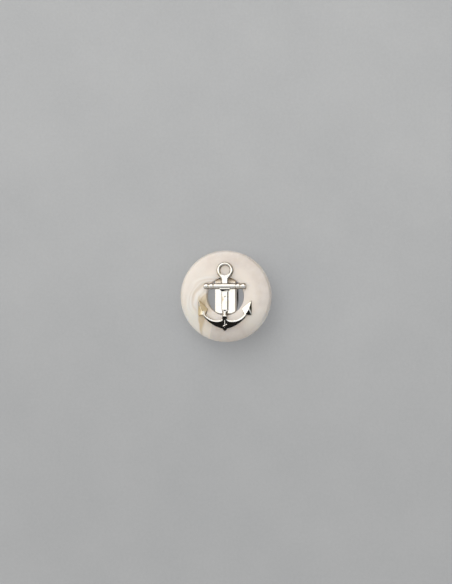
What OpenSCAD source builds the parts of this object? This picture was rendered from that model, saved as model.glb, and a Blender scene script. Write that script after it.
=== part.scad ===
// Two-part sew-on shank button: a pearl ring with an anchor insert.
// The foot of the shank stands on the cloth at z = 0, on the button's axis.
// +Z points out of the face, +Y towards the anchor's ring, and the thread runs along X.

/* [Ring] */
// Outer diameter of the pearl ring
ring_d = 20; // [19:0.25:22]
// Thickness of the ring at its flat seat
ring_t = 3; // [2.7:0.1:3.4]
// Diameter of the hole through the ring
hole_d = 8.2; // [8.1:0.1:8.5]
// Radius of the flat seat that the anchor lies on
seat_r = 6; // [5.5:0.1:6.5]
// Radius of the face's curve outside the seat, seen from the side
dome_r = 12; // [10:0.5:16]
// Rounding of the rim on the face side
rim_r = 0.9; // [0.7:0.05:1.1]

/* [Shank] */
// Height from the cloth to the back of the ring
shank_reach = 3.6; // [3.4:0.1:4.5]
// Width of the shank block, and so the length of the thread tunnel
block_w = 4.4; // [4:0.1:4.8]
// Diameter of the thread tunnel
tunnel_d = 2.2; // [1.8:0.1:2.3]
// Height of the tunnel's axis above the cloth
tunnel_z = 1.95; // [1.85:0.05:2.05]
// Radius of the loop's rounded nose
nose_r = 2.2; // [2.15:0.05:2.3]
// Thickness of the adhesive between the block and the ring
glue_t = 0.1; // [0.05:0.05:0.15]

/* [Anchor] */
// Height of the round stock above the seat
stock_h = 1.2; // [1.1:0.05:1.3]
// Diameter of the stock
stock_d = 1.38; // [1.3:0.02:1.44]
// Height of the shaft above the seat
shaft_h = 0.8; // [0.7:0.05:0.85]
// Width of the shaft
shaft_w = 1.46; // [1.3:0.02:1.5]
// Height of the arms' ridge above the seat
ridge_h = 0.86; // [0.8:0.02:0.95]

/* [Hidden] */
$fn = 64;
hole_r = hole_d / 2;
back_z = shank_reach;
face_z = shank_reach + ring_t;
plug_r = hole_r - glue_t;

// The ring's section. The rim's arc meets the face's arc without a corner.
edge_r = 0.15;
back_edge_r = 0.5;
rim_x = ring_d / 2 - rim_r;
rim_drop = dome_r - sqrt(pow(dome_r - rim_r, 2) - pow(rim_x - seat_r, 2));
rim_a = atan2(dome_r - rim_drop, rim_x - seat_r);

// The shank block: the plug ends below the ring's back, and the loop tapers from there.
plug_lip = 0.3;
plug_z = back_z - plug_lip;
loop_y = 3.4;
lead_in = 1.1;
small_chamfer = 0.25;
// Where the loop's straight side meets its nose
loop_dist = norm([loop_y, plug_z - tunnel_z]);
side_a = atan2(plug_z - tunnel_z, loop_y) - acos(nose_r / loop_dist);
foot_a = -asin(tunnel_z / nose_r);

// Locating pegs under the anchor's shaft
peg_r = 0.42;
peg_play = 0.03;
peg_depth = 1.2;
peg_y = 1.9;

// The anchor's outline, seen from the front
shackle_y = 5.65;
shackle_r = 1.81;
shackle_hole_r = 1.07;
shackle_h = 0.78;
web_h = 0.7;
web_overlap = 0.3;
neck_y = 3.8;
plate_y = 4.35;
stock_y = 2.2;
stock_half = 4.6;
bar_half = 2.35;
bead_half = 0.475;
groove_w = 0.12;
bead_edge_drop = 0.1;
bar_edge_drop = 0.04;
shaft_end_y = -2.95;
shaft_bevel = 0.2;
// The gusset's upper end under the stock, and its foot on the shaft
gusset_w = 2.2;
gusset_top_y = [1.55, 1.85];
gusset_top_h = stock_h - 0.2;
gusset_foot_y = [1, 1.1];
gusset_foot_h = shaft_h + 0.01;
arm_centre = [1.68, -1.98];
arm_top_r = 3.25;
arm_ridge_r = 3.55;
arm_from_a = -113;
arm_to_a = -33;
arm_steps = 14;
arm_wall_h = 0.74;
keel_slope = 0.25;
tip_slope = 0.4;
keel_centre = [-1.13, -0.07];
keel_r = 7.17;
crown_outline = [[0.5, -3.9], [0.75, -5.2], [0.75, -6.93], [0, -7.53],
    [-0.75, -6.93], [-0.75, -5.2], [-0.5, -3.9]];
crown_top = [[-0.4, -4.1, 0.97], [0.4, -4.1, 0.97], [0, -4.1, 1.04],
    [-0.68, -6.85, 0.32], [0.68, -6.85, 0.32], [0, -7.1, 0.4]];
crown_fillet_r = 0.6;
crown_fillet_at = [0.5, -5.1];
crown_fillet_h = 0.55;
crown_fillet_overlap = [0.2, 0.4];
waist_y = -4.1;
waist_w = 1;
waist_slice = 0.1;
waist_low_h = 0.68;
waist_high_h = 0.95;
fluke_outline = [[5.8, -0.85], [3.73, -2.71], [4.06, -3.75], [4.82, -4.15], [5.87, -4.08]];
fluke_ridge = [[5.6, -1.3, 0.38], [5.3, -2.5, 0.75], [4.93, -3.32, 0.9], [4.4, -3.95, 0.8]];

// Points along an arc, from angle a0 to a1
function arc(centre, r, a0, a1, steps) =
    [for (i = [0 : steps]) centre + r * [cos(a0 + (a1 - a0) * i / steps), sin(a0 + (a1 - a0) * i / steps)]];

// How far a ray from the arms' centre at angle a runs before it meets the keel's circle
function keel_dist(a) =
    let (d = arm_centre - keel_centre, b = d * [cos(a), sin(a)])
    sqrt(b * b + keel_r * keel_r - d * d) - b;

function on_ray(a, r, z) = [arm_centre[0] + r * cos(a), arm_centre[1] + r * sin(a), z];

// The arm's section at angle a: upper edge, ridge and lower edge over a flat back
function arm_section(a) =
    let (
        slim = (a - arm_from_a) / (arm_to_a - arm_from_a),
        slope = keel_slope + (tip_slope - keel_slope) * slim,
        keel = keel_dist(a)
    )
    [
        on_ray(a, arm_top_r, 0),
        on_ray(a, arm_top_r, arm_wall_h),
        on_ray(a, arm_ridge_r, ridge_h),
        on_ray(a, keel, ridge_h - slope * (keel - arm_ridge_r)),
        on_ray(a, keel, 0)
    ];

module ring_section() {
    polygon(concat(
        arc([hole_r + edge_r, -edge_r], edge_r, 180, 90, 6),
        arc([seat_r, -dome_r], dome_r, 90, rim_a, 16),
        arc([rim_x, -rim_drop], rim_r, rim_a, 0, 10),
        arc([ring_d / 2 - back_edge_r, back_edge_r - ring_t], back_edge_r, 0, -90, 8),
        arc([hole_r + edge_r, edge_r - ring_t], edge_r, 270, 180, 6)
    ));
}

module pearl_ring() {
    color("#e6dacb")
    translate([0, 0, face_z])
    rotate_extrude($fn = 128)
    ring_section();
}

// The block's side view, with y to the right and z up
module block_side() {
    polygon(concat(
        arc([0, tunnel_z], nose_r, foot_a, side_a, 12),
        [
            [loop_y, plug_z],
            [plug_r + 1, plug_z],
            [plug_r + 1, face_z - lead_in - 1],
            [plug_r - lead_in, face_z],
            [small_chamfer - plug_r, face_z],
            [-plug_r, face_z - small_chamfer],
            [-plug_r - 1, face_z - small_chamfer],
            [-plug_r - 1, plug_z],
            [-loop_y, plug_z]
        ],
        arc([0, tunnel_z], nose_r, 180 - side_a, 180 - foot_a, 12)
    ));
}

module shank_block() {
    color("#d9dadb")
    difference() {
        intersection() {
            rotate([90, 0, 90])
            linear_extrude(block_w, center = true)
            block_side();
            cylinder(h = face_z, r = plug_r, $fn = 128);
        }
        translate([0, 0, tunnel_z])
        rotate([0, 90, 0])
        cylinder(h = block_w + 1, d = tunnel_d, center = true);
        for (y = [-peg_y, peg_y])
            translate([0, y, face_z - peg_depth - 0.1])
            cylinder(h = peg_depth + 1, r = peg_r + peg_play);
    }
}

module adhesive_pads() {
    half_a = 31;
    bead_w = 0.6;
    pad_top_z = face_z - lead_in - 0.2;
    color("#cbb48a")
    for (turn = [90, 270])
        rotate([0, 0, turn - half_a])
        rotate_extrude(angle = 2 * half_a, $fn = 128)
        polygon([
            [plug_r, plug_z],
            [plug_r + 0.32, plug_z + 0.1],
            [plug_r + bead_w, back_z],
            [hole_r, back_z],
            [hole_r, pad_top_z],
            [plug_r, pad_top_z]
        ]);
}

module shackle() {
    band = (shackle_r - shackle_hole_r) / 2;
    translate([0, shackle_y, 0])
    rotate_extrude()
    polygon(concat(
        [[shackle_r, 0]],
        arc([shackle_hole_r + band, shackle_h - band], band, 0, 180, 10),
        [[shackle_hole_r, 0]]
    ));
}

// The flat web that runs from the shackle's sides into the neck
module shackle_web() {
    drop = shackle_y - neck_y;
    half = shaft_w / 2;
    reach = norm([half, drop]);
    a = atan2(-drop, half) + acos(shackle_r / reach);
    touch = shackle_r * [cos(a), sin(a)];
    difference() {
        linear_extrude(web_h)
        polygon([
            [-touch[0], shackle_y + touch[1]],
            [-half, neck_y],
            [half, neck_y],
            [touch[0], shackle_y + touch[1]]
        ]);
        translate([0, shackle_y, -1])
        cylinder(h = 3, r = shackle_r - web_overlap);
    }
}

// Half the section of a turned bulge, as [radius, place along the bar]
function bulge(middle, half, r_mid, drop, steps) =
    [for (i = [-steps : steps]) [r_mid - drop * pow(i / steps, 2), middle + half * i / steps]];

module stock() {
    r = stock_d / 2;
    inner = bar_half + groove_w + bead_half;
    outer = inner + groove_w + 2 * bead_half;
    intersection() {
        translate([0, stock_y, stock_h - r])
        rotate([0, 90, 0])
        rotate_extrude()
        polygon(concat(
            [[0, -stock_half], [0.45, -stock_half]],
            bulge(-outer, bead_half, r, bead_edge_drop, 4),
            bulge(-inner, bead_half, r, bead_edge_drop, 4),
            bulge(0, bar_half, r, bar_edge_drop, 4),
            bulge(inner, bead_half, r, bead_edge_drop, 4),
            bulge(outer, bead_half, r, bead_edge_drop, 4),
            [[0.45, stock_half], [0, stock_half]]
        ));
        translate([-10, -10, 0])
        cube([20, 20, 10]);
    }
}

// The bar from the shackle to the crown, with bevelled sides
module shaft() {
    half = shaft_w / 2;
    translate([0, plate_y, 0])
    rotate([90, 0, 0])
    linear_extrude(plate_y - shaft_end_y)
    polygon([
        [-half, 0],
        [half, 0],
        [half, shaft_h - shaft_bevel],
        [half - shaft_bevel, shaft_h],
        [shaft_bevel - half, shaft_h],
        [-half, shaft_h - shaft_bevel]
    ]);
}

// The sloping web that props the stock on the shaft
module gusset() {
    hull() {
        translate([-gusset_w / 2, gusset_top_y[0], 0])
        cube([gusset_w, gusset_top_y[1] - gusset_top_y[0], gusset_top_h]);
        translate([-shaft_w / 2, gusset_foot_y[0], 0])
        cube([shaft_w, gusset_foot_y[1] - gusset_foot_y[0], gusset_foot_h]);
    }
}

module arm() {
    sections = [for (i = [0 : arm_steps]) arm_section(arm_from_a + (arm_to_a - arm_from_a) * i / arm_steps)];
    points = [for (s = sections, p = s) p];
    sides = [for (i = [0 : arm_steps - 1], j = [0 : 4])
        let (k = (j + 1) % 5)
        each [
            [5 * i + j, 5 * i + 5 + k, 5 * i + k],
            [5 * i + j, 5 * i + 5 + j, 5 * i + 5 + k]
        ]];
    ends = [[0, 1, 2, 3, 4], [for (j = [4 : -1 : 0]) 5 * arm_steps + j]];
    polyhedron(points, concat(sides, ends));
}

module fluke() {
    hull() {
        linear_extrude(0.25)
        polygon(fluke_outline);
        for (p = fluke_ridge)
            translate(p - [0, 0, 0.06])
            sphere(r = 0.06, $fn = 8);
    }
}

module crown() {
    hull() {
        linear_extrude(0.22)
        polygon(crown_outline);
        for (p = crown_top)
            translate(p - [0, 0, 0.06])
            sphere(r = 0.06, $fn = 8);
    }
}

// The dip below the shaft, which rises to the crown's upper end
module waist() {
    hull() {
        translate([-shaft_w / 2, shaft_end_y, 0])
        cube([shaft_w, waist_slice, waist_low_h]);
        translate([-waist_w / 2, waist_y, 0])
        cube([waist_w, waist_slice, waist_high_h]);
    }
}

// The hollow corner between the crown's side and an arm's upper edge
module crown_fillet() {
    translate(crown_fillet_at)
    linear_extrude(crown_fillet_h)
    difference() {
        translate(-crown_fillet_overlap)
        square([crown_fillet_r, crown_fillet_r] + crown_fillet_overlap);
        translate([crown_fillet_r, crown_fillet_r])
        circle(r = crown_fillet_r);
    }
}

module anchor() {
    color("#e9eaeb")
    translate([0, 0, face_z]) {
        shackle();
        shackle_web();
        shaft();
        stock();
        gusset();
        waist();
        crown();
        for (side = [0, 1])
            mirror([side, 0, 0]) {
                arm();
                crown_fillet();
                fluke();
            }
        for (y = [-peg_y, peg_y])
            translate([0, y, -peg_depth])
            cylinder(h = peg_depth + 0.2, r = peg_r);
    }
}

pearl_ring();
anchor();
shank_block();
adhesive_pads();
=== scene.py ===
"""The looks of a pearl ring button with a plated anchor insert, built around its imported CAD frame.

Shapes are worked out in millimetres, in the frame's own axes, and turned into metres when a mesh is made.
"""

import math

import bmesh
import bpy
from mathutils import Matrix, Vector, noise


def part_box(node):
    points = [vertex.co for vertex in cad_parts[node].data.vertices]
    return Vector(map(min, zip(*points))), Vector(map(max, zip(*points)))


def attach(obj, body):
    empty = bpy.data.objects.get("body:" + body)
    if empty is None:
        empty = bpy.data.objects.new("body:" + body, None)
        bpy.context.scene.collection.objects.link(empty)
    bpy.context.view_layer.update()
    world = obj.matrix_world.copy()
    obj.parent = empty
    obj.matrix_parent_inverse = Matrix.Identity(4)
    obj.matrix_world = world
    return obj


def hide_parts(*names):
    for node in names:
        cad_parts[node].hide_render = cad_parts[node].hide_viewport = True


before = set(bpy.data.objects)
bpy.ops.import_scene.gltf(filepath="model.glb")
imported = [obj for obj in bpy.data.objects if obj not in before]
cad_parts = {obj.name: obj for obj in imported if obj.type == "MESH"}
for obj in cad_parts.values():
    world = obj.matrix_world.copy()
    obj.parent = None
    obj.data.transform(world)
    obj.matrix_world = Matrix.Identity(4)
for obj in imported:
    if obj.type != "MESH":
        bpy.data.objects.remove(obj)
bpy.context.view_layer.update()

MM = 0.001


def box_mm(name):
    """A CAD node's lowest and highest corners, in millimetres."""
    low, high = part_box(name)
    return Vector(low) / MM, Vector(high) / MM


RING_LOW, RING_HIGH = box_mm("pearl_ring")
BLOCK_LOW, BLOCK_HIGH = box_mm("shank_block")

# Heights and outlines that the pieces share
FACE_Z = RING_HIGH.z
BACK_Z = RING_LOW.z
RING_R = RING_HIGH.x
HOLE_R = 4.1
GLUE = 0.1
PLUG_R = HOLE_R - GLUE
PLUG_PROUD = 0.3
PLUG_Z = BACK_Z - PLUG_PROUD
LEAD_IN = 1.1
FACE_CHAMFER = 0.25
TUNNEL_Z = 1.95
TUNNEL_R = 1.1
PEG_R = 0.42
PEG_DEPTH = 1.2
PEG_HOLE_R = 0.45
PEG_HOLE_DEPTH = 1.3
PEG_PLACES = (-1.9, 1.9)


# ---------------------------------------------------------------- mesh tools

BEVEL_SEGMENTS = 5
WELD_GAP = 1e-5
JOINT_GAP = 1e-4


def arc(cx, cy, r, start, end, steps):
    """Points along an arc, with angles in degrees."""
    angles = [math.radians(start + (end - start) * i / steps) for i in range(steps + 1)]
    return [(cx + r * math.cos(a), cy + r * math.sin(a)) for a in angles]


def circle(cx, cy, r, count):
    """Points round a whole circle."""
    return arc(cx, cy, r, 0, 360 - 360 / count, count - 1)


def cleaned(bm):
    """Merges doubled points and turns every face outwards."""
    bmesh.ops.remove_doubles(bm, verts=bm.verts, dist=WELD_GAP)
    bmesh.ops.recalc_face_normals(bm, faces=bm.faces)
    return bm


def lathe(profile, steps):
    """A closed (radius, height) profile turned about Z. Points on the axis become single vertices."""
    bm = bmesh.new()
    rows = []
    for r, z in profile:
        if r < WELD_GAP:
            rows.append([bm.verts.new((0, 0, z))] * steps)
            continue
        turn = [2 * math.pi * i / steps for i in range(steps)]
        rows.append([bm.verts.new((r * math.cos(a), r * math.sin(a), z)) for a in turn])
    for low, high in zip(rows, rows[1:] + rows[:1]):
        for i in range(steps):
            j = (i + 1) % steps
            corners = []
            for v in (low[i], low[j], high[j], high[i]):
                if v not in corners:
                    corners.append(v)
            if len(corners) > 2:
                bm.faces.new(corners)
    return cleaned(bm)


def loft(rings):
    """A closed skin over rings of the same number of points, with flat ends."""
    bm = bmesh.new()
    rows = [[bm.verts.new(p) for p in ring] for ring in rings]
    count = len(rows[0])
    for low, high in zip(rows, rows[1:]):
        for i in range(count):
            j = (i + 1) % count
            bm.faces.new((low[i], low[j], high[j], high[i]))
    bm.faces.new(list(reversed(rows[0])))
    bm.faces.new(rows[-1])
    return cleaned(bm)


def hull(points):
    """The convex solid round some points."""
    bm = bmesh.new()
    for p in points:
        bm.verts.new(p)
    made = bmesh.ops.convex_hull(bm, input=bm.verts)
    inside = [*made["geom_interior"], *made["geom_unused"]]
    spare = {v for v in inside if isinstance(v, bmesh.types.BMVert)}
    bmesh.ops.delete(bm, geom=list(spare), context="VERTS")
    bmesh.ops.dissolve_limit(bm, angle_limit=math.radians(1), verts=bm.verts, edges=bm.edges)
    return cleaned(bm)


def prism(outline, low, high):
    """An outline in X and Y, as a solid between two heights."""
    return loft([[(x, y, z) for x, y in outline] for z in (low, high)])


def bevel(bm, width, min_angle=20):
    """Rounds every edge that turns by more than min_angle degrees."""
    limit = math.radians(min_angle)
    sharp = [e for e in bm.edges if e.is_manifold and e.calc_face_angle() > limit]
    bmesh.ops.bevel(bm, geom=sharp, offset=width, offset_type="OFFSET", segments=BEVEL_SEGMENTS,
                    profile=0.5, affect="EDGES", clamp_overlap=True)
    return cleaned(bm)


def moved(bm, matrix):
    """Moves a solid, and keeps its faces outwards if the move mirrors it."""
    bmesh.ops.transform(bm, matrix=matrix, verts=bm.verts)
    if matrix.determinant() < 0:
        bmesh.ops.reverse_faces(bm, faces=bm.faces)
    return bm


def mirrored(bm):
    """A copy on the other side of the YZ plane."""
    return moved(bm.copy(), Matrix.Diagonal((-1, 1, 1, 1)))


def together(first, second):
    """Two solids that stay apart, in one bmesh."""
    mesh = bpy.data.meshes.new("tool")
    second.to_mesh(mesh)
    second.free()
    first.from_mesh(mesh)
    bpy.data.meshes.remove(mesh)
    return first


def loose_object(bm):
    mesh = bpy.data.meshes.new("tool")
    bm.to_mesh(mesh)
    bm.free()
    made = bpy.data.objects.new("tool", mesh)
    bpy.context.scene.collection.objects.link(made)
    return made


def combine(base, others, operation):
    """The union or difference of solids, as one new bmesh."""
    first = loose_object(base)
    tools = [loose_object(bm) for bm in others]
    for tool in tools:
        step = first.modifiers.new("join", "BOOLEAN")
        step.operation = operation
        step.solver = "MANIFOLD"
        step.object = tool
    graph = bpy.context.evaluated_depsgraph_get()
    mesh = bpy.data.meshes.new_from_object(first.evaluated_get(graph), depsgraph=graph)
    bm = bmesh.new()
    bm.from_mesh(mesh)
    for made in [first, *tools]:
        bpy.data.objects.remove(made)
    bpy.data.meshes.remove(mesh)
    bmesh.ops.remove_doubles(bm, verts=bm.verts, dist=JOINT_GAP)
    bmesh.ops.dissolve_degenerate(bm, edges=bm.edges, dist=JOINT_GAP)
    return bm


def piece(name, bm, material, node, sharp_angle=32):
    """Makes the object that is shown, and has it stand for its CAD node."""
    moved(bm, Matrix.Scale(MM, 4))
    mesh = bpy.data.meshes.new(name)
    bm.to_mesh(mesh)
    bm.free()
    mesh.shade_smooth()
    mesh.set_sharp_from_angle(angle=math.radians(sharp_angle))
    mesh.materials.append(material)
    made = bpy.data.objects.new(name, mesh)
    bpy.context.scene.collection.objects.link(made)
    flat = made.modifiers.new("flat faces", "WEIGHTED_NORMAL")
    flat.keep_sharp = True
    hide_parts(node)
    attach(made, "root")
    return made


# ---------------------------------------------------------------- shader tools

def shader(tree, kind, inputs=None, out=0, **settings):
    """Adds a node. An input is a number, a colour or the socket that feeds it."""
    made = tree.nodes.new(kind)
    for key, value in settings.items():
        setattr(made, key, value)
    for socket, value in (inputs or {}).items():
        if isinstance(value, bpy.types.NodeSocket):
            tree.links.new(value, made.inputs[socket])
        else:
            made.inputs[socket].default_value = value
    return made.outputs[out]


def calc(tree, operation, a, b=0.0, c=0.0):
    return shader(tree, "ShaderNodeMath", {0: a, 1: b, 2: c}, operation=operation)


def product(tree, first, *others):
    for other in others:
        first = calc(tree, "MULTIPLY", first, other)
    return first


def coordinate(tree, vector, axis):
    """A vector's x, y or z."""
    return shader(tree, "ShaderNodeSeparateXYZ", {0: vector}, out="xyz".index(axis))


def smooth(tree, value, start, end, low=0.0, high=1.0):
    """Runs smoothly from low to high as value goes from start to end."""
    inputs = {"Value": value, "From Min": start, "From Max": end, "To Min": low, "To Max": high}
    return shader(tree, "ShaderNodeMapRange", inputs, interpolation_type="SMOOTHSTEP")


def noise_at(tree, place, scale, detail, rough):
    inputs = {"Vector": place, "Scale": scale, "Detail": detail, "Roughness": rough}
    return shader(tree, "ShaderNodeTexNoise", inputs)


def blend(tree, amount, first, second):
    inputs = {"Factor": amount, 6: first, 7: second}
    return shader(tree, "ShaderNodeMix", inputs, out=2, data_type="RGBA")


def layered(tree, colour, layers):
    """A colour with others laid over it in turn, each as (amount, colour)."""
    for amount, over in layers:
        colour = blend(tree, amount, colour, over)
    return colour


def millimetres(tree):
    """The place on the piece, in millimetres of the frame."""
    place = shader(tree, "ShaderNodeTexCoord", out=3)
    return shader(tree, "ShaderNodeVectorMath", {0: place, "Scale": 1 / MM}, operation="SCALE")


def bump(tree, height, distance_mm):
    return shader(tree, "ShaderNodeBump", {"Height": height, "Distance": distance_mm * MM})


def new_material(name):
    material = bpy.data.materials.new(name)
    material.use_nodes = True
    tree = material.node_tree
    tree.nodes.clear()
    return material, tree


def surface(tree, inputs):
    made = shader(tree, "ShaderNodeBsdfPrincipled", inputs)
    out = tree.nodes.new("ShaderNodeOutputMaterial")
    tree.links.new(made, out.inputs["Surface"])


# ---------------------------------------------------------------- the pearl plastic

def drifted(tree, place):
    """The place, pushed about slowly, so that what is drawn at it bends."""
    reach = 1.6
    push = shader(tree, "ShaderNodeTexNoise", {"Vector": place, "Scale": 0.22, "Detail": 1.0}, out=1)
    push = shader(tree, "ShaderNodeVectorMath", {0: push, 1: (0.5, 0.5, 0.5)}, operation="SUBTRACT")
    push = shader(tree, "ShaderNodeVectorMath", {0: push, "Scale": reach}, operation="SCALE")
    return shader(tree, "ShaderNodeVectorMath", {0: place, 1: push}, operation="ADD")


def pearl_swirls(tree, x, y):
    """Streaks that sweep in arcs round a point left of the middle, and ripples along them."""
    centre_x = -3.0
    centre_y = -1.2
    dx = calc(tree, "ADD", x, -centre_x)
    dy = calc(tree, "ADD", y, -centre_y)
    out_r = calc(tree, "SQRT", calc(tree, "ADD", product(tree, dx, dx), product(tree, dy, dy)))
    turn = calc(tree, "ARCTAN2", product(tree, dy, -1.0), product(tree, dx, -1.0))
    swept = shader(tree, "ShaderNodeCombineXYZ", {0: out_r, 1: product(tree, turn, 0.45), 2: 0.0})
    streak = noise_at(tree, swept, 1.1, 2.0, 0.5)
    ripple = calc(tree, "SINE", calc(tree, "MULTIPLY_ADD", streak, 7.0, product(tree, out_r, 6.5)))
    upper_left = product(tree, smooth(tree, x, 0.5, -3.5), smooth(tree, y, -5.5, -0.5),
                         smooth(tree, out_r, 6.4, 4.6))
    return {
        "streak": streak,
        "light": product(tree, smooth(tree, streak, 0.46, 0.68), upper_left),
        "dark": product(tree, smooth(tree, streak, 0.5, 0.34), upper_left),
        "crest": product(tree, smooth(tree, ripple, 0.0, 1.0, 0.0, 0.5), upper_left),
        "trough": product(tree, smooth(tree, ripple, 0.0, -1.0, 0.0, 0.3), upper_left),
    }


def pearl_stains_and_seat_light(tree, place, streak):
    """How much shows of the painted light on the seat, the olive patch and its tail, the amber and the rosy
    wedge.
    """
    x = coordinate(tree, place, "x")
    y = coordinate(tree, place, "y")
    from_axis = shader(tree, "ShaderNodeVectorMath", {0: shader(tree, "ShaderNodeCombineXYZ", {0: x, 1: y})},
                       out=1, operation="LENGTH")

    # Olive beside the hole: crisp on its left, soft on its right, with a tail down to the rim
    wobble = product(tree, calc(tree, "ADD", streak, -0.5), 0.5)
    left_side = smooth(tree, y, -4.5, -8.5, -5.95, -5.5)
    right_side = smooth(tree, y, -7.6, -4.2, -4.95, -4.0)
    from_left = calc(tree, "SUBTRACT", calc(tree, "ADD", x, wobble), left_side)
    from_right = calc(tree, "SUBTRACT", x, right_side)
    olive = product(tree, smooth(tree, from_left, -0.15, 0.3), smooth(tree, from_right, 0.2, -0.6),
                    smooth(tree, y, 1.0, -1.9))
    amber = product(tree, smooth(tree, from_axis, 5.5, 4.3), smooth(tree, x, -2.6, -3.8),
                    smooth(tree, y, 1.8, -0.4))

    # The wedge lies between the tail and a crisp slanting side
    slanting_side = calc(tree, "MULTIPLY_ADD", y, 0.23, -1.39)
    wedge = product(tree, smooth(tree, calc(tree, "SUBTRACT", x, slanting_side), 0.1, -0.1),
                    smooth(tree, from_right, -0.45, 0.35), smooth(tree, y, -4.0, -5.2))
    return {
        # Painted light: the seat is lighter where it lies flat under the bright overhead.
        "seat": smooth(tree, from_axis, 7.8, 5.4),
        "olive": olive,
        "tail": smooth(tree, y, -3.0, -5.2),
        "amber": amber,
        "wedge": wedge,
    }


def pearl_material():
    """Cast polyester with a pearl filler, swirled while it set."""
    material, tree = new_material("pearl_plastic")
    place = millimetres(tree)
    bent = drifted(tree, place)
    x = coordinate(tree, bent, "x")
    y = coordinate(tree, bent, "y")
    swirls = pearl_swirls(tree, x, y)
    stains_and_seat_light = pearl_stains_and_seat_light(tree, place, swirls["streak"])
    # Painted light: the pearl is lightened towards the left, at the lower left and at the lower right.
    left = smooth(tree, x, -2.0, -7.0, 0.0, 0.6)
    lower_left = product(tree, smooth(tree, x, -4.0, -6.5), smooth(tree, y, 0.5, -4.0))
    lower_right = product(tree, smooth(tree, x, 2.0, 6.0), smooth(tree, y, -1.0, -3.5),
                          smooth(tree, y, -8.0, -5.5, 0.0, 0.75))

    cloud = noise_at(tree, bent, 0.42, 4.0, 0.6)
    body = blend(tree, smooth(tree, cloud, 0.3, 0.7), (0.76, 0.69, 0.65, 1), (0.84, 0.775, 0.74, 1))
    olive = blend(tree, stains_and_seat_light["tail"], (0.64, 0.52, 0.32, 1), (0.67, 0.565, 0.41, 1))
    colour = layered(tree, body, [
        # Painted light: the seat's layer.
        (product(tree, stains_and_seat_light["seat"], 0.9), (0.99, 0.885, 0.81, 1)),
        (left, (0.92, 0.85, 0.80, 1)),
        (lower_left, (1.0, 0.89, 0.82, 1)),
        (swirls["light"], (0.96, 0.91, 0.87, 1)),
        (swirls["crest"], (0.99, 0.95, 0.91, 1)),
        (swirls["trough"], (0.70, 0.61, 0.52, 1)),
        (product(tree, swirls["dark"], 0.5), (0.66, 0.60, 0.53, 1)),
        (stains_and_seat_light["wedge"], (1.0, 0.835, 0.745, 1)),
        (lower_right, (0.97, 0.88, 0.81, 1)),
        (product(tree, stains_and_seat_light["amber"], 0.7), (0.84, 0.66, 0.46, 1)),
        (product(tree, stains_and_seat_light["olive"], 0.92), olive),
    ])

    # Where the filler lies flat it mirrors the room a little. At the lower left it is stirred up.
    stirred = calc(tree, "MAXIMUM", calc(tree, "MAXIMUM", stains_and_seat_light["wedge"], stains_and_seat_light["olive"]), lower_left)
    sheen = calc(tree, "MULTIPLY_ADD", stains_and_seat_light["seat"], 0.18, smooth(tree, y, -2.0, -8.0, 0.25, 0.17))

    # A soft relief along the streaks, with fine turning marks
    grain = noise_at(tree, place, 6.0, 3.0, 0.6)
    relief = calc(tree, "MULTIPLY_ADD", swirls["streak"], 0.6, product(tree, grain, 0.2))
    surface(tree, {
        "Base Color": colour,
        "Metallic": product(tree, smooth(tree, stirred, 0.0, 1.0, 1.0, 0.1), sheen),
        "Roughness": smooth(tree, cloud, 0.3, 0.7, 0.34, 0.42),
        "Normal": bump(tree, relief, 0.02),
        "Subsurface Weight": 1.0,
        "Subsurface Radius": (1.0, 0.9, 0.75),
        "Subsurface Scale": 5 * MM,
        "Coat Weight": 0.45,
        "Coat Roughness": 0.06,
        "Coat IOR": 1.5,
    })
    return material


# ---------------------------------------------------------------- the other materials

NICKEL = (0.94, 0.935, 0.925, 1)


def steepness(tree):
    """Goes from 0 on what faces up or down to 1 on the sides."""
    normal = shader(tree, "ShaderNodeTexCoord", out=1)
    return smooth(tree, calc(tree, "ABSOLUTE", coordinate(tree, normal, "z")), 0.84, 0.58)


def painted_reflection_spot(tree, place, centre, radius):
    """A ragged spot, seen from above, painted on the metal as a reflection."""
    flat = shader(tree, "ShaderNodeVectorMath", {0: place, 1: (1.0, 1.0, 0.0)}, operation="MULTIPLY")
    away = shader(tree, "ShaderNodeVectorMath", {0: flat, 1: (*centre, 0.0)}, out=1, operation="DISTANCE")
    ragged = calc(tree, "MULTIPLY_ADD", noise_at(tree, place, 3.5, 2.0, 0.5), 0.8,
                  calc(tree, "DIVIDE", away, radius))
    return smooth(tree, ragged, 1.3, 0.6)


def metal_material():
    """Bright nickel plating over a polished casting, whose sides the wheel didn't reach, so they are rougher.
    The steep sides are also painted dark brown as shade.
    """
    material, tree = new_material("plated_metal")
    place = millimetres(tree)
    side = steepness(tree)
    cloud = noise_at(tree, place, 1.3, 3.0, 0.55)
    pits = noise_at(tree, place, 9.0, 2.0, 0.5)
    waves = noise_at(tree, place, 2.2, 1.0, 0.4)
    colour = layered(tree, NICKEL, [
        (smooth(tree, cloud, 0.38, 0.66), (0.90, 0.875, 0.80, 1)),
        # Painted reflections: a dark spot on the shaft's middle and a tan patch at its lower left.
        (painted_reflection_spot(tree, place, (0.06, -0.05), 0.34), (0.40, 0.36, 0.32, 1)),
        (painted_reflection_spot(tree, place, (-0.62, -0.6), 0.75), (0.78, 0.66, 0.48, 1)),
        # Painted shade: the steep sides are dark brown.
        (side, (0.34, 0.29, 0.24, 1)),
    ])
    relief = calc(tree, "MULTIPLY_ADD", waves, 0.8, product(tree, pits, 0.12))
    polish = smooth(tree, pits, 0.3, 0.75, 0.05, 0.12)
    surface(tree, {
        "Base Color": colour,
        "Metallic": 1.0,
        "Roughness": calc(tree, "MULTIPLY_ADD", side, 0.22, polish),
        "Normal": bump(tree, relief, 0.006),
    })
    return material


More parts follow.
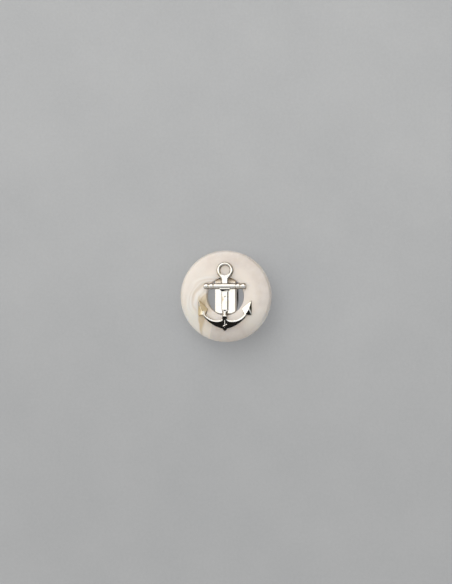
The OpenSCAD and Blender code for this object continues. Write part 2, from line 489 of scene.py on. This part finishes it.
def shank_material():
    """The same plating on the shank: polished face, satin sides inside the ring and a lead-in painted cream
    as a reflection of the pearl wall, and a loop behind it painted near black as shade.
    """
    material, tree = new_material("plated_shank")
    place = millimetres(tree)
    y = coordinate(tree, place, "y")
    z = coordinate(tree, place, "z")
    face = product(tree, smooth(tree, steepness(tree), 0.4, 0.1), smooth(tree, z, FACE_Z - 0.3, FACE_Z - 0.1))
    loop = smooth(tree, z, PLUG_Z + 0.25, PLUG_Z - 0.15)
    lead_in = product(tree, smooth(tree, y, 2.75, 2.95), smooth(tree, z, FACE_Z - 1.15, FACE_Z - 1.0))
    cloud = noise_at(tree, place, 1.1, 4.0, 0.6)
    pits = noise_at(tree, place, 7.0, 3.0, 0.6)
    polished = blend(tree, smooth(tree, cloud, 0.38, 0.66), NICKEL, (0.92, 0.89, 0.80, 1))
    # Painted reflection: the satin sides are cream, like the pearl wall they face.
    satin = blend(tree, pits, (0.88, 0.82, 0.73, 1), (0.97, 0.93, 0.86, 1))
    # Painted shade: the loop behind the ring is near black.
    loop_painted_shade = blend(tree, pits, (0.07, 0.064, 0.055, 1), (0.13, 0.12, 0.105, 1))
    # Painted reflection: the lead-in at +Y is a paler cream and less metallic.
    colour = layered(tree, satin, [(loop, loop_painted_shade), (lead_in, (0.97, 0.88, 0.76, 1)), (face, polished)])
    bright = smooth(tree, calc(tree, "MAXIMUM", face, loop), 0.0, 1.0, 0.2, 1.0)
    surface(tree, {
        "Base Color": colour,
        "Metallic": calc(tree, "SUBTRACT", bright, product(tree, lead_in, 0.15)),
        "Roughness": smooth(tree, calc(tree, "MULTIPLY_ADD", pits, 0.2, face), 0.0, 1.1, 0.42, 0.06),
        "Normal": bump(tree, pits, 0.008),
    })
    return material


def adhesive_material():
    """Cured adhesive, a little cloudy."""
    material, tree = new_material("adhesive")
    place = millimetres(tree)
    cloud = noise_at(tree, place, 3.0, 3.0, 0.6)
    surface(tree, {
        "Base Color": blend(tree, cloud, (0.55, 0.43, 0.24, 1), (0.78, 0.68, 0.46, 1)),
        "Roughness": smooth(tree, cloud, 0.3, 0.7, 0.12, 0.3),
        "Normal": bump(tree, cloud, 0.03),
        "Subsurface Weight": 0.5,
        "Subsurface Radius": (1.0, 0.7, 0.4),
        "Subsurface Scale": 0.4 * MM,
    })
    return material


def card_material():
    """Matt grey card. Its own faint glow keeps the shadows as light as they are in a bright room."""
    material, tree = new_material("grey_card")
    place = millimetres(tree)
    from_middle = shader(tree, "ShaderNodeVectorMath", {0: place}, out=1, operation="LENGTH")
    # Painted shade: the card darkens towards -Y, where the viewer blocks the light.
    painted_shade_towards_viewer = smooth(tree, coordinate(tree, place, "y"), 60, -60, 0.0, 0.20)
    cloud = noise_at(tree, place, 0.05, 4.0, 0.6)
    fibre = noise_at(tree, place, 1.6, 4.0, 0.7)
    tone = calc(tree, "MULTIPLY_ADD", fibre, 0.5, product(tree, cloud, 0.5))
    card = blend(tree, tone, (0.26, 0.273, 0.287, 1), (0.43, 0.443, 0.457, 1))
    surface(tree, {
        "Base Color": blend(tree, painted_shade_towards_viewer, card, (0, 0, 0, 1)),
        "Roughness": 0.85,
        "Normal": bump(tree, fibre, 0.05),
        "Emission Color": (0.155, 0.16, 0.168, 1),
        # Painted light: the glow is stronger under the middle, as light that came through the ring.
        "Emission Strength": smooth(tree, from_middle, 5.5, 3.2, 1.0, 1.45),
    })
    return material


# ---------------------------------------------------------------- the ring

def pearl_ring():
    """A flat seat for the anchor, then a gentle dome down to a round rim."""
    seat_r = 6.0
    dome_r = 12.0
    rim_r = 0.9
    back_r = 0.5
    hole_edge = 0.15
    rim_x = RING_R - rim_r
    rise = math.sqrt((dome_r - rim_r) ** 2 - (rim_x - seat_r) ** 2)
    rim_a = math.degrees(math.atan2(rise, rim_x - seat_r))
    profile = [
        *arc(HOLE_R + hole_edge, FACE_Z - hole_edge, hole_edge, 180, 90, 8),
        *arc(seat_r, FACE_Z - dome_r, dome_r, 90, rim_a, 28),
        *arc(rim_x, FACE_Z - dome_r + rise, rim_r, rim_a, 0, 16)[1:],
        *arc(RING_R - back_r, BACK_Z + back_r, back_r, 0, -90, 10),
        *arc(HOLE_R + hole_edge, BACK_Z + hole_edge, hole_edge, 270, 180, 8),
    ]
    return lathe(profile, 256)


# ---------------------------------------------------------------- the shank

def block_reach(z):
    """How far the block reaches along +Y and -Y at one height: a round nose, tapered sides, then the plug."""
    nose_r = 2.2
    loop_y = 3.4
    to_corner = math.hypot(loop_y, PLUG_Z - TUNNEL_Z)
    side_a = math.atan2(PLUG_Z - TUNNEL_Z, loop_y) - math.acos(nose_r / to_corner)
    touch_y = nose_r * math.cos(side_a)
    touch_z = TUNNEL_Z + nose_r * math.sin(side_a)
    if z < touch_z:
        reach = math.sqrt(nose_r ** 2 - (z - TUNNEL_Z) ** 2)
        return reach, reach
    if z < PLUG_Z:
        reach = touch_y + (loop_y - touch_y) * (z - touch_z) / (PLUG_Z - touch_z)
        return reach, reach
    lead_in = max(0.0, z - (FACE_Z - LEAD_IN))
    chamfer = max(0.0, z - (FACE_Z - FACE_CHAMFER))
    return PLUG_R - lead_in, PLUG_R - chamfer


def block_end(reach, inset):
    """Points along one end of the block: two rounded corners, and between them the hole's curve or a flat."""
    rounding = 0.14
    across_steps = 16
    half = BLOCK_HIGH.x - inset
    r = PLUG_R - inset
    limit = reach - inset
    on_arc = math.sqrt((r - rounding) ** 2 - (half - rounding) ** 2)
    centre = min(limit - rounding, on_arc)
    full = 90 if centre < on_arc else math.degrees(math.atan2(centre, half - rounding))
    corner = arc(half - rounding, centre, rounding, 0, full, 5)
    inner = corner[-1][0]
    across = [inner - 2 * inner * i / across_steps for i in range(1, across_steps)]
    middle = [(x, min(limit, math.sqrt(r * r - x * x))) for x in across]
    return corner + middle + [(-x, y) for x, y in reversed(corner)]


def block_outline(z, inset):
    top, bottom = block_reach(z)
    return block_end(top, inset) + [(-x, -y) for x, y in block_end(bottom, inset)]


def tunnel_tool():
    """The cutter for the thread tunnel, flared where the thread comes out."""
    half = BLOCK_HIGH.x
    past = half + 0.5
    flare = 0.18
    mouth_r = TUNNEL_R + flare
    mouth = arc(half - flare, mouth_r, flare, 270, 360, 6)
    wall = [(r, x) for x, r in mouth]
    profile = [(0, past), (mouth_r, past), *reversed(wall)]
    profile += [(r, -x) for r, x in wall] + [(mouth_r, -past), (0, -past)]
    turn = Matrix.Translation((0, 0, TUNNEL_Z)) @ Matrix.Rotation(math.radians(90), 4, "Y")
    return moved(lathe(profile, 96), turn)


def shank_block():
    rounding = 0.09
    loop_steps = 28
    angles = [math.radians(90 * i / 4) for i in range(5)]
    edge = [(rounding * (1 - math.cos(a)), rounding * (1 - math.sin(a))) for a in angles]
    low = [(BLOCK_LOW.z + rise, inset) for rise, inset in edge]
    high = [(FACE_Z - rise, inset) for rise, inset in reversed(edge)]
    loop_from = BLOCK_LOW.z + rounding
    loop_to = PLUG_Z - 0.001
    loop = [(loop_from + (loop_to - loop_from) * i / loop_steps, 0.0) for i in range(1, loop_steps + 1)]
    plug = [(z, 0.0) for z in (PLUG_Z, BACK_Z, FACE_Z - LEAD_IN, FACE_Z - 0.8, FACE_Z - 0.5,
                               FACE_Z - FACE_CHAMFER)]
    solid = loft([[(x, y, z) for x, y in block_outline(z, inset)] for z, inset in low + loop + plug + high])
    peg_holes = [prism(circle(0, y, PEG_HOLE_R, 32), FACE_Z - PEG_HOLE_DEPTH, FACE_Z + 1) for y in PEG_PLACES]
    return combine(solid, [tunnel_tool(), *peg_holes], "DIFFERENCE")


# ---------------------------------------------------------------- the anchor

# Heights here are above the seat, and the finished anchor is lifted on to it
SHACKLE_Y = 5.65
SHACKLE_R = 1.81
SHACKLE_HOLE_R = 1.07
SHACKLE_H = 0.78
BAND = (SHACKLE_R - SHACKLE_HOLE_R) / 2
NECK_Y = 3.72
WEB_H = 0.7
SHAFT_HALF = 0.73
SHAFT_H = 0.8
SHAFT_ENDS = (-2.95, 4.35)
STOCK_Y = 2.2
STOCK_R = 0.69
STOCK_H = 1.2
STOCK_HALF = 4.6
ARM_CENTRE = Vector((1.68, -1.98))
ARM_START = -110
ARM_SWEEP = 77
ARM_TOP_R = 3.25
ARM_RIDGE_R = 3.55
ARM_WALL_H = 0.74
RIDGE_H = 0.86
KEEL_CENTRE = Vector((-1.13, -0.07))
KEEL_R = 7.17


def rounded_bar(start, end, half, height):
    """A bar along a line on the seat, with a round back."""
    along = Vector((end[0] - start[0], end[1] - start[1], 0)).normalized()
    side = Vector((-along.y, along.x, 0))
    section = [(half, 0), *arc(0, height - half, half, 0, 180, 14), (-half, 0)]
    rings = []
    for p in (start, end):
        at = Vector((p[0], p[1], 0))
        rings.append([at + side * u + Vector((0, 0, v)) for u, v in section])
    return loft(rings)


def cheek():
    """One side of the shackle's foot: a tangent from the ring's middle line to the neck."""
    middle = SHACKLE_HOLE_R + BAND
    foot = Vector((SHAFT_HALF - BAND, NECK_Y))
    to_centre = Vector((0, SHACKLE_Y)) - foot
    swing = math.asin(middle / to_centre.length)
    reach = math.sqrt(to_centre.length ** 2 - middle ** 2)
    heading = math.atan2(to_centre.y, to_centre.x) - swing
    touch = foot + reach * Vector((math.cos(heading), math.sin(heading)))
    return rounded_bar(foot, touch, BAND, SHACKLE_H)


def shackle_web():
    """Fills the fork between the cheeks, up to the shackle's hole."""
    right = [(0.5, 3.6), (1.2, 4.5), (1.2, 4.9)]
    left = [(-x, y) for x, y in right]
    hole = prism(circle(0, SHACKLE_Y, SHACKLE_HOLE_R + 0.04, 64), -1, 2)
    return combine(prism([left[0], *right, *reversed(left[1:])], 0, WEB_H), [hole], "DIFFERENCE")


def shackle():
    back = arc(SHACKLE_HOLE_R + BAND, SHACKLE_H - BAND, BAND, 0, 180, 18)
    section = [(SHACKLE_R, 0), *back, (SHACKLE_HOLE_R, 0)]
    ring = moved(lathe(section, 128), Matrix.Translation((0, SHACKLE_Y, 0)))
    right_cheek = cheek()
    return [ring, right_cheek, mirrored(right_cheek), shackle_web()]


def shaft():
    slope = 0.2
    rounding = 0.05
    section = [(-SHAFT_HALF, 0), (SHAFT_HALF, 0), (SHAFT_HALF, SHAFT_H - slope),
               (SHAFT_HALF - slope, SHAFT_H), (slope - SHAFT_HALF, SHAFT_H), (-SHAFT_HALF, SHAFT_H - slope)]
    return bevel(loft([[(x, y, z) for x, z in section] for y in SHAFT_ENDS]), rounding)


def barrel(middle, half, drop, steps):
    """Part of the stock's profile that is fullest in its middle."""
    return [(STOCK_R - drop * (i / steps) ** 2, middle + half * i / steps) for i in range(-steps, steps + 1)]


def stock():
    """A turned bar with two beads at each end, flat where it lies on the seat."""
    bar_half = 2.35
    bar_drop = 0.04
    bead_half = 0.475
    bead_drop = 0.115
    groove = 0.12
    groove_r = 0.56
    end_r = 0.5
    end_round = 0.1
    inner = bar_half + groove + bead_half
    outer = inner + groove + 2 * bead_half
    rounded_end = arc(STOCK_HALF - end_round, end_r - end_round, end_round, 90, 0, 4)
    half_profile = [
        (groove_r, bar_half + groove / 2),
        *barrel(inner, bead_half, bead_drop, 10),
        (groove_r, inner + bead_half + groove / 2),
        *barrel(outer, bead_half, bead_drop, 10),
        *[(r, x) for x, r in rounded_end],
        (0, STOCK_HALF),
    ]
    other_half = [(r, -x) for r, x in reversed(half_profile)]
    profile = other_half + barrel(0, bar_half, bar_drop, 24) + half_profile
    bar = moved(lathe(profile, 96), Matrix.Rotation(math.radians(90), 4, "Y"))
    bar = moved(bar, Matrix.Translation((0, STOCK_Y, STOCK_H - STOCK_R)))
    far = 9
    below = prism([(-far, -far), (far, -far), (far, far), (-far, far)], -far, 0)
    return combine(bar, [below], "DIFFERENCE")


def gusset():
    """The slope from under the stock down to the shaft, which it meets just below the shaft's top."""
    top_half = 1.1
    top_h = 1.0
    foot_y = 1.0
    foot_h = SHAFT_H - 0.032
    top = [(x, y, top_h) for y in (STOCK_Y - 0.65, STOCK_Y - 0.35) for x in (-top_half, top_half)]
    foot = [(x, foot_y, foot_h) for x in (-SHAFT_HALF, SHAFT_HALF)]
    base = [(x, y, 0) for x, y, _ in top + foot]
    return bevel(hull(top + foot + base), 0.03)


def on_ray(a, r, z):
    return (ARM_CENTRE.x + r * math.cos(a), ARM_CENTRE.y + r * math.sin(a), z)


def keel_reach(a):
    """How far a ray from the arms' centre runs before it meets the keel's curve."""
    gap = ARM_CENTRE - KEEL_CENTRE
    along = gap.dot(Vector((math.cos(a), math.sin(a))))
    return math.sqrt(along ** 2 + KEEL_R ** 2 - gap.dot(gap)) - along


def arm():
    """The right arm: an upright inner wall, a ridge, and a face that falls away to the keel."""
    steps = 56
    crown_dip = 0.12
    rings = []
    for i in range(steps + 1):
        t = i / steps
        a = math.radians(ARM_START + ARM_SWEEP * t)
        keel = keel_reach(a)
        ridge_z = RIDGE_H - crown_dip * max(0.0, 1 - 8 * t)
        slope = 0.25 + 0.15 * t
        keel_z = ridge_z - slope * (keel - ARM_RIDGE_R)
        section = [(ARM_TOP_R, 0), (ARM_TOP_R, ARM_WALL_H), (ARM_RIDGE_R, ridge_z), (keel, keel_z), (keel, 0)]
        rings.append([on_ray(a, r, z) for r, z in section])
    return bevel(loft(rings), 0.035, min_angle=12)


def crown_fillet():
    """The hollow corner between the crown's side and an arm, with the arm's bevel carried round it."""
    centre_x = 1.1
    centre_y = -4.55
    wall_r = 0.6
    ridge_r = 0.88
    outer_r = 1.25
    start_a = -190
    sweep = 108
    steps = 18
    outer_h = 0.7
    section = [(wall_r, 0), (wall_r, ARM_WALL_H - 0.02), (ridge_r, RIDGE_H - 0.04), (outer_r, outer_h),
               (outer_r, 0)]
    rings = []
    for i in range(steps + 1):
        a = math.radians(start_a + sweep * i / steps)
        rings.append([(centre_x + r * math.cos(a), centre_y + r * math.sin(a), z) for r, z in section])
    return bevel(loft(rings), 0.03, min_angle=12)


def fluke():
    """The right fluke: a leaf with a low edge and a ridge down its middle."""
    edge_h = 0.25
    outline = [(5.8, -0.85), (3.73, -2.71), (4.06, -3.75), (4.82, -4.15), (5.87, -4.08)]
    ridge = [(5.66, -1.2, 0.36), (5.45, -2.05, 0.62), (5.15, -2.9, 0.8), (4.8, -3.5, 0.86), (4.4, -3.98, 0.8)]
    points = [(x, y, z) for x, y in outline for z in (0, edge_h)] + ridge
    return bevel(hull(points), 0.035, min_angle=14)


def crown_body():
    """The waist and the crown, as stations of (place along Y, half width, height, drop to the sides)."""
    flat_share = 0.35
    stations = [
        (-2.80, 0.70, 0.70, 0.06), (-2.96, 0.70, 0.78, 0.06), (-3.22, 0.64, 0.69, 0.20),
        (-3.32, 0.61, 0.695, 0.32), (-3.65, 0.57, 0.85, 0.42), (-3.90, 0.54, 0.95, 0.40),
        (-4.08, 0.52, 0.995, 0.22), (-4.22, 0.50, 1.01, 0.05), (-4.38, 0.51, 0.99, 0.05),
        (-4.70, 0.53, 0.92, 0.05), (-5.20, 0.62, 0.81, 0.06), (-5.70, 0.70, 0.70, 0.06),
        (-6.30, 0.75, 0.565, 0.06), (-6.93, 0.75, 0.425, 0.06), (-7.20, 0.44, 0.36, 0.04),
        (-7.42, 0.16, 0.31, 0.02), (-7.53, 0.04, 0.27, 0.01),
    ]
    rings = []
    for y, half, top, drop in stations:
        side = top - drop
        flat = flat_share * half
        section = [(-half, 0), (-half, side), (-flat, top), (flat, top), (half, side), (half, 0)]
        rings.append([(x, y, z) for x, z in section])
    return bevel(loft(rings), 0.04, min_angle=25)


def crown_rib():
    """The short upright line on the crown."""
    half = 0.05
    side = ((-5.2, 0.6), (-5.2, 0.84), (-6.1, 0.78), (-6.3, 0.4))
    return hull([(x, y, z) for x in (-half, half) for y, z in side])


def crown_stroke():
    """The slanting line across the rib's foot."""
    left_x = -0.4
    right_x = 0.45
    left = ((-6.40, 0.54), (-6.53, 0.585), (-6.60, 0.49), (-6.50, 0.3))
    right = ((-5.97, 0.635), (-6.10, 0.68), (-6.17, 0.585), (-6.07, 0.4))
    return hull([(left_x, y, z) for y, z in left] + [(right_x, y, z) for y, z in right])


def crown_point():
    """The small pyramid at the crown's tip."""
    return hull([(0, -6.74, 0.5), (0.4, -6.52, 0.4), (-0.4, -6.52, 0.4), (0.5, -6.9, 0.3), (-0.5, -6.9, 0.3),
                 (0, -7.5, 0.26), (0, -7.1, 0.0)])


def pegs():
    """The two pegs under the shaft, which sit in the block's holes."""
    return [prism(circle(0, y, PEG_R, 32), -PEG_DEPTH, 0.2) for y in PEG_PLACES]


def anchor():
    """The whole casting, as one solid on the ring's face."""
    solids = [*shackle(), shaft(), stock(), gusset()]
    solids += [crown_body(), crown_rib(), crown_stroke(), crown_point()]
    for made in (arm(), crown_fillet(), fluke()):
        solids += [made, mirrored(made)]
    solids += pegs()
    joined = combine(solids[0], solids[1:], "UNION")
    return moved(joined, Matrix.Translation((0, 0, FACE_Z)))


# ---------------------------------------------------------------- the adhesive

def adhesive_pad(turn):
    """One pad between the block's end and the hole's wall, with the bead that squeezed out behind."""
    half_a = 31.0
    steps = 40
    bead_w = 0.6
    bead_drop = 0.29
    pad_top_z = FACE_Z - 1.3
    rings = []
    for i in range(steps + 1):
        a = math.radians(turn - half_a + 2 * half_a * i / steps)
        # The bead thins out over a sixth of the pad at each end, and it is lumpy all along
        edge = min(1.0, 6 * min(i, steps - i) / steps)
        lump = 1 + 0.35 * noise.noise(Vector((9 * a, turn, 0)))
        bulge = bead_w * lump * math.sqrt(max(0.05, edge * (2 - edge))) * 0.8
        bulge = min(bulge, bead_w)
        drop = min(bead_drop, 0.45 * bulge)
        under = [(PLUG_R + bulge * math.sin(math.radians(b)), BACK_Z - drop * math.cos(math.radians(b)))
                 for b in range(0, 91, 18)]
        section = [*under, (HOLE_R, BACK_Z), (HOLE_R, pad_top_z), (PLUG_R, pad_top_z)]
        rings.append([(r * math.cos(a), r * math.sin(a), z) for r, z in section])
    return loft(rings)


def adhesive_pads():
    return together(adhesive_pad(90), adhesive_pad(270))


# ---------------------------------------------------------------- the studio

def floor():
    bm = bmesh.new()
    bmesh.ops.create_grid(bm, x_segments=4, y_segments=4, size=1.5)
    mesh = bpy.data.meshes.new("floor")
    bm.to_mesh(mesh)
    bm.free()
    mesh.materials.append(card_material())
    made = bpy.data.objects.new("floor", mesh)
    bpy.context.scene.collection.objects.link(made)


def low_surroundings(tree, east, north, z):
    """What stands round the horizon: brown, dark olive towards +X and pale towards -Y."""
    brown = blend(tree, smooth(tree, z, 0.12, 0.40), (0.07, 0.05, 0.035, 1), (0.26, 0.20, 0.14, 1))
    pale = product(tree, smooth(tree, north, -0.4, -0.9), smooth(tree, z, 0.1, 0.2))
    return layered(tree, brown, [
        (smooth(tree, east, 0.1, 0.7), (0.035, 0.032, 0.02, 1)),
        (pale, (0.75, 0.72, 0.68, 1)),
    ])


def window_shape(tree, x, y, z):
    """A window on the upper left, with a less bright band across it."""
    towards = calc(tree, "MULTIPLY_ADD", x, -0.78, product(tree, y, 0.62))
    panes = calc(tree, "MAXIMUM", smooth(tree, z, 0.85, 0.94), smooth(tree, z, 0.72, 0.64))
    return product(tree, smooth(tree, towards, 0.18, 0.42), panes, smooth(tree, z, 0.2, 0.45))


def wall_shape(tree, x, y, z):
    """A wall on the far right."""
    return product(tree, smooth(tree, x, 0.36, 0.43), smooth(tree, y, 0.22, 0.33),
                   smooth(tree, z, 0.80, 0.76), smooth(tree, z, 0.2, 0.4))


def person_shape(tree, x, y, z):
    """The shape of someone leaning in from -Y, drawn on a flat sheet overhead."""
    up = calc(tree, "MAXIMUM", z, 0.05)
    across = calc(tree, "ABSOLUTE", calc(tree, "ADD", calc(tree, "DIVIDE", x, up), -0.3))
    down = calc(tree, "DIVIDE", y, up)
    return product(tree, smooth(tree, across, 1.65, 1.35), smooth(tree, down, -0.16, -0.32),
                   smooth(tree, down, -1.5, -1.15))


def sky_colour(tree):
    """A bright soft room, by direction."""
    ray = shader(tree, "ShaderNodeTexCoord", out=0)
    x = coordinate(tree, ray, "x")
    y = coordinate(tree, ray, "y")
    z = coordinate(tree, ray, "z")
    sideways = calc(tree, "SQRT", calc(tree, "MULTIPLY_ADD", z, product(tree, z, -1.0), 1.001))
    east = calc(tree, "DIVIDE", x, sideways)
    north = calc(tree, "DIVIDE", y, sideways)
    west = smooth(tree, east, -0.78, -0.92)
    warm = product(tree, west, smooth(tree, z, 0.66, 0.56), smooth(tree, y, 0.1, -0.1))
    olive = product(tree, west, smooth(tree, z, 0.44, 0.34))
    overhead = blend(tree, smooth(tree, z, 0.90, 0.97), (0.98, 0.97, 0.955, 1), (1.15, 1.14, 1.10, 1))
    return layered(tree, overhead, [
        (smooth(tree, z, 0.52, 0.34), low_surroundings(tree, east, north, z)),
        (wall_shape(tree, x, y, z), (0.50, 0.40, 0.25, 1)),
        (window_shape(tree, x, y, z), (1.52, 1.45, 1.35, 1)),
        (warm, (1.0, 0.87, 0.61, 1)),
        (olive, (0.62, 0.50, 0.31, 1)),
        (person_shape(tree, x, y, z), (0.012, 0.011, 0.010, 1)),
    ])


def sky():
    world = bpy.data.worlds.new("studio")
    bpy.context.scene.world = world
    world.use_nodes = True
    tree = world.node_tree
    tree.nodes.clear()
    light = shader(tree, "ShaderNodeBackground", {"Color": sky_colour(tree), "Strength": 1.07})
    out = tree.nodes.new("ShaderNodeOutputWorld")
    tree.links.new(light, out.inputs["Surface"])


def window_lamp():
    """Soft light from the window's side. Reflections show the sky's window and not this lamp."""
    place = Vector((-0.15, 0.42, 0.50))
    data = bpy.data.lights.new("window", "AREA")
    data.shape = "DISK"
    data.size = 0.5
    data.energy = 0.7
    data.color = (1.0, 0.98, 0.95)
    made = bpy.data.objects.new("window", data)
    made.location = place
    made.rotation_euler = (-place).to_track_quat("-Z", "Y").to_euler()
    made.visible_glossy = False
    bpy.context.scene.collection.objects.link(made)


def camera():
    """Looks down at the face, leaning a few degrees towards +X, and takes in about 99 mm across."""
    width, height = 452, 584
    view_across = 98.6 * MM
    distance = 0.3
    lean = math.radians(7)
    aim_z = FACE_Z - 1.2
    data = bpy.data.cameras.new("camera")
    data.sensor_width = 36.0
    data.lens = data.sensor_width * distance / (view_across * height / width)
    data.clip_start = 0.01
    data.clip_end = 10
    made = bpy.data.objects.new("camera", data)
    aim = Vector((0, 0, aim_z * MM)) + Vector((0.05, 0.93, 0)) * MM
    back = Vector((math.sin(lean), 0, math.cos(lean)))
    right = Vector((math.cos(lean), 0, -math.sin(lean)))
    turned = Matrix((right, (0, 1, 0), back)).transposed().to_4x4()
    made.matrix_world = Matrix.Translation(aim + back * distance) @ turned
    bpy.context.scene.collection.objects.link(made)
    bpy.context.scene.camera = made


camera()
sky()
window_lamp()
floor()

piece("ring_of_pearl", pearl_ring(), pearl_material(), "pearl_ring", 50)
piece("shank_and_plug", shank_block(), shank_material(), "shank_block")
piece("anchor_motif", anchor(), metal_material(), "anchor", 21)
piece("adhesive_beads", adhesive_pads(), adhesive_material(), "adhesive_pads", 50)

bpy.context.scene.view_settings.view_transform = "Standard"
